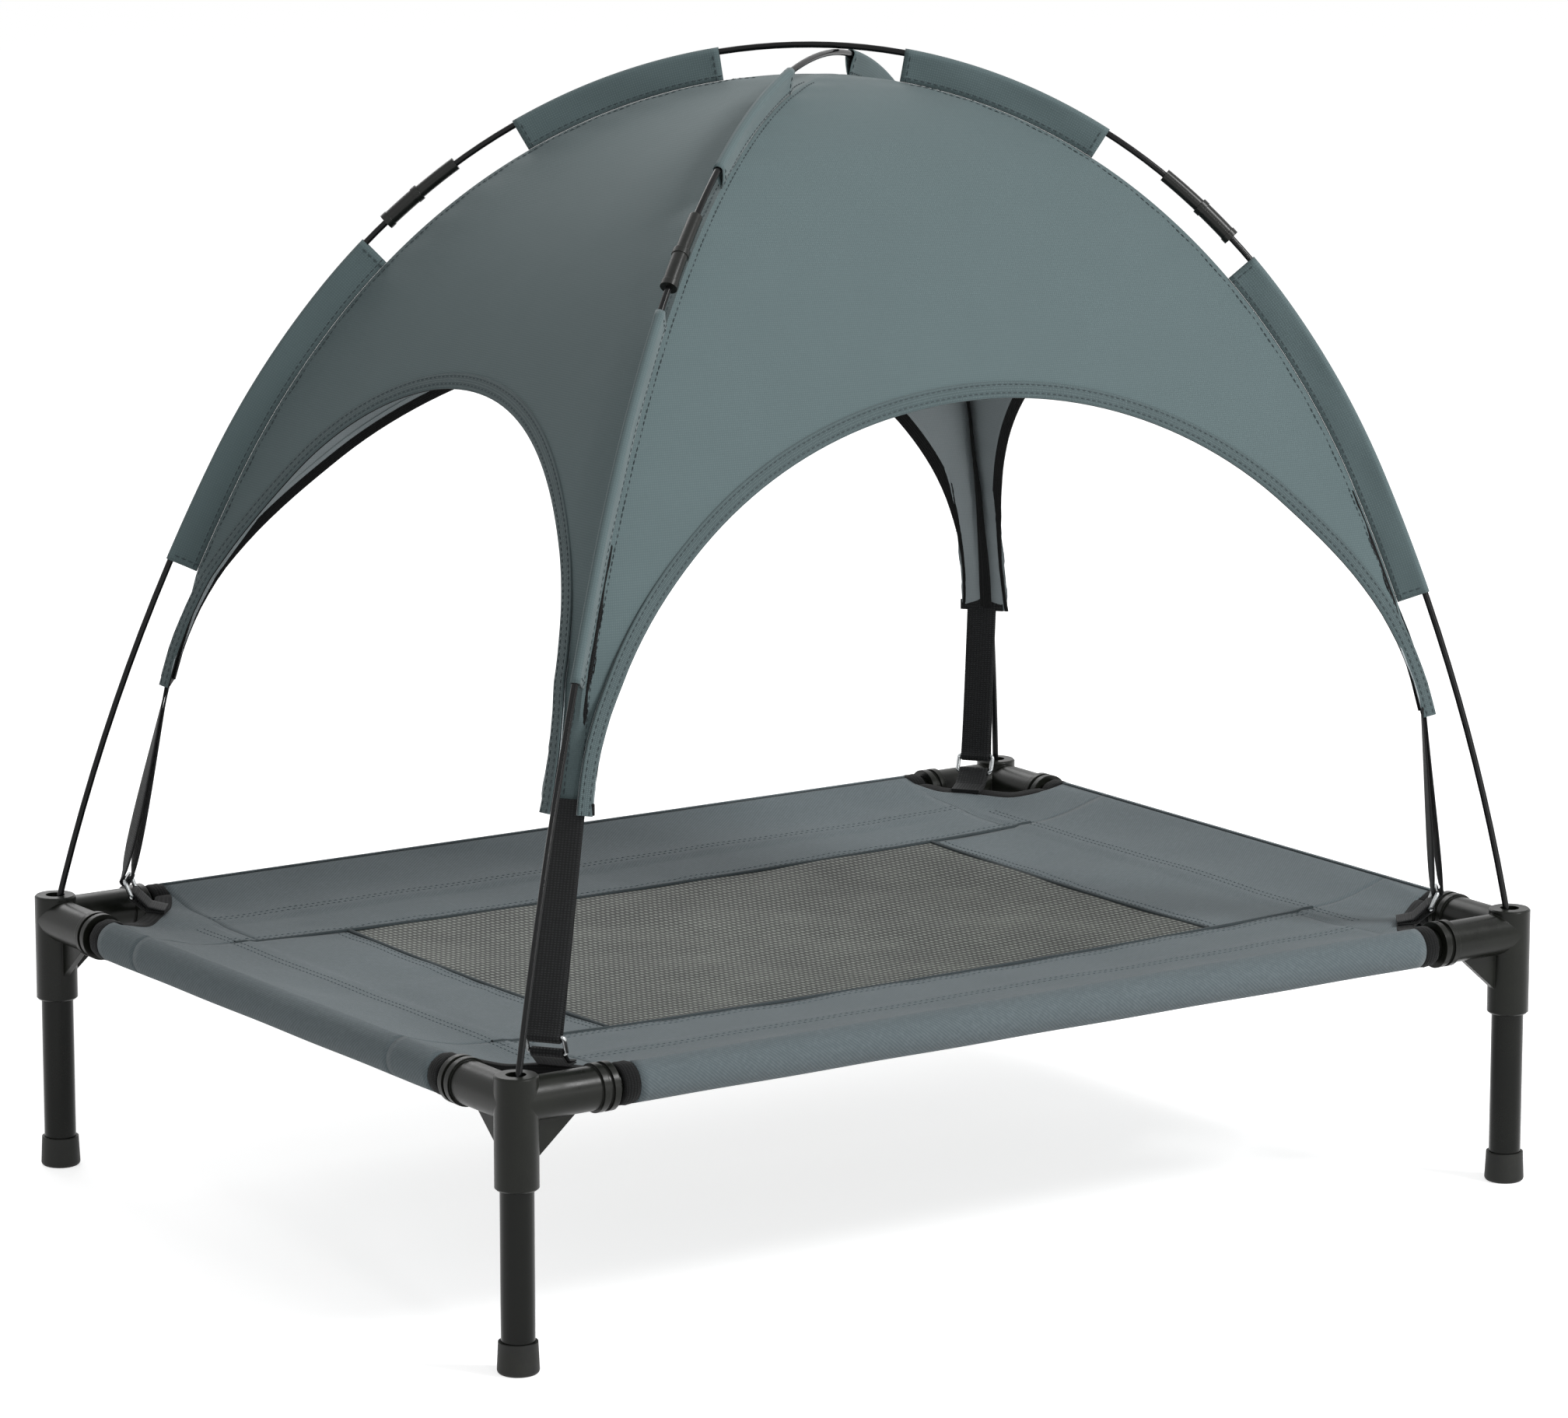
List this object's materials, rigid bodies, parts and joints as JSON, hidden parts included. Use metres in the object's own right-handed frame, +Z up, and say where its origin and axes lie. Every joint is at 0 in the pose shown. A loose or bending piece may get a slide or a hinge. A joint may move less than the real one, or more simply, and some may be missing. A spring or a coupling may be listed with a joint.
{
  "type": "elevated pet bed with canopy",
  "caption": "Raised pet cot: tube frame with moulded corners, mesh sling and a lift-off dome canopy on two crossed sprung hoops held by elastic straps.",
  "frame": {"origin": "on the floor, under the middle of the bed", "axes": "+X along the long side, +Y along the short side to the rear, +Z up"},
  "size_m": [0.763, 0.575, 0.711],
  "materials": {
    "connector_plastic": "satin",
    "coated_tube": "satin",
    "foot_rubber": "matte",
    "sling_cloth": "woven",
    "sling_mesh": "open weave",
    "canopy_cloth": "woven",
    "canopy_tape": "woven",
    "black_tape": "woven",
    "elastic_webbing": "ribbed",
    "fibreglass_rod": "gloss",
    "ferrule_plastic": "satin",
    "ring_steel": "bright"
  },
  "bodies": {
    "bed": {"corner_connector_front_left": "connector_plastic", "corner_binding_front_left": "black_tape", "corner_connector_front_right": "connector_plastic", "corner_binding_front_right": "black_tape", "corner_connector_rear_left": "connector_plastic", "corner_binding_rear_left": "black_tape", "corner_connector_rear_right": "connector_plastic", "corner_binding_rear_right": "black_tape", "rail_front": "coated_tube", "sling_strip_front": "sling_cloth", "rail_rear": "coated_tube", "sling_strip_rear": "sling_cloth", "rail_left": "coated_tube", "sling_strip_left": "sling_cloth", "rail_right": "coated_tube", "sling_strip_right": "sling_cloth", "sling_mesh": "sling_mesh", "seam_piping": "black_tape", "ring_tabs": "elastic_webbing", "strap_rings": "ring_steel"},
    "canopy": {"ferrule_front_left": "ferrule_plastic", "pole_side_front_left": "fibreglass_rod", "pole_sleeve_upper_front_left": "canopy_cloth", "pole_sleeve_lower_front_left": "canopy_cloth", "strap_front_left": "elastic_webbing", "ferrule_front_right": "ferrule_plastic", "pole_side_front_right": "fibreglass_rod", "pole_sleeve_upper_front_right": "canopy_cloth", "pole_sleeve_lower_front_right": "canopy_cloth", "strap_front_right": "elastic_webbing", "ferrule_rear_left": "ferrule_plastic", "pole_side_rear_left": "fibreglass_rod", "pole_sleeve_upper_rear_left": "canopy_cloth", "pole_sleeve_lower_rear_left": "canopy_cloth", "strap_rear_left": "elastic_webbing", "ferrule_rear_right": "ferrule_plastic", "pole_side_rear_right": "fibreglass_rod", "pole_sleeve_upper_rear_right": "canopy_cloth", "pole_sleeve_lower_rear_right": "canopy_cloth", "strap_rear_right": "elastic_webbing", "canopy_panel_front": "canopy_cloth", "arch_tape_front": "canopy_tape", "canopy_panel_right": "canopy_cloth", "arch_tape_right": "canopy_tape", "canopy_panel_rear": "canopy_cloth", "arch_tape_rear": "canopy_tape", "canopy_panel_left": "canopy_cloth", "arch_tape_left": "canopy_tape", "seam_tapes": "black_tape", "pole_crown_over": "fibreglass_rod", "pole_crown_under": "fibreglass_rod"},
    "leg_front_left": {"leg_tube_front_left": "coated_tube", "foot_cap_front_left": "foot_rubber"},
    "leg_front_right": {"leg_tube_front_right": "coated_tube", "foot_cap_front_right": "foot_rubber"},
    "leg_rear_left": {"leg_tube_rear_left": "coated_tube", "foot_cap_rear_left": "foot_rubber"},
    "leg_rear_right": {"leg_tube_rear_right": "coated_tube", "foot_cap_rear_right": "foot_rubber"}
  },
  "joints": [
    {"name": "canopy_lift", "type": "slide", "parent": "bed", "child": "canopy", "axis": [0, 0, 1], "range_m": [0, 0.06], "stiffness_N_per_m": 400, "springref_m": -0.03, "deforming": ["strap_front_left", "strap_front_right", "strap_rear_left", "strap_rear_right"]},
    {"name": "leg_pull_front_left", "type": "slide", "parent": "bed", "child": "leg_front_left", "axis": [0, 0, -1], "range_m": [0, 0.04]},
    {"name": "leg_pull_front_right", "type": "slide", "parent": "bed", "child": "leg_front_right", "axis": [0, 0, -1], "range_m": [0, 0.04]},
    {"name": "leg_pull_rear_left", "type": "slide", "parent": "bed", "child": "leg_rear_left", "axis": [0, 0, -1], "range_m": [0, 0.04]},
    {"name": "leg_pull_rear_right", "type": "slide", "parent": "bed", "child": "leg_rear_right", "axis": [0, 0, -1], "range_m": [0, 0.04]}
  ]
}
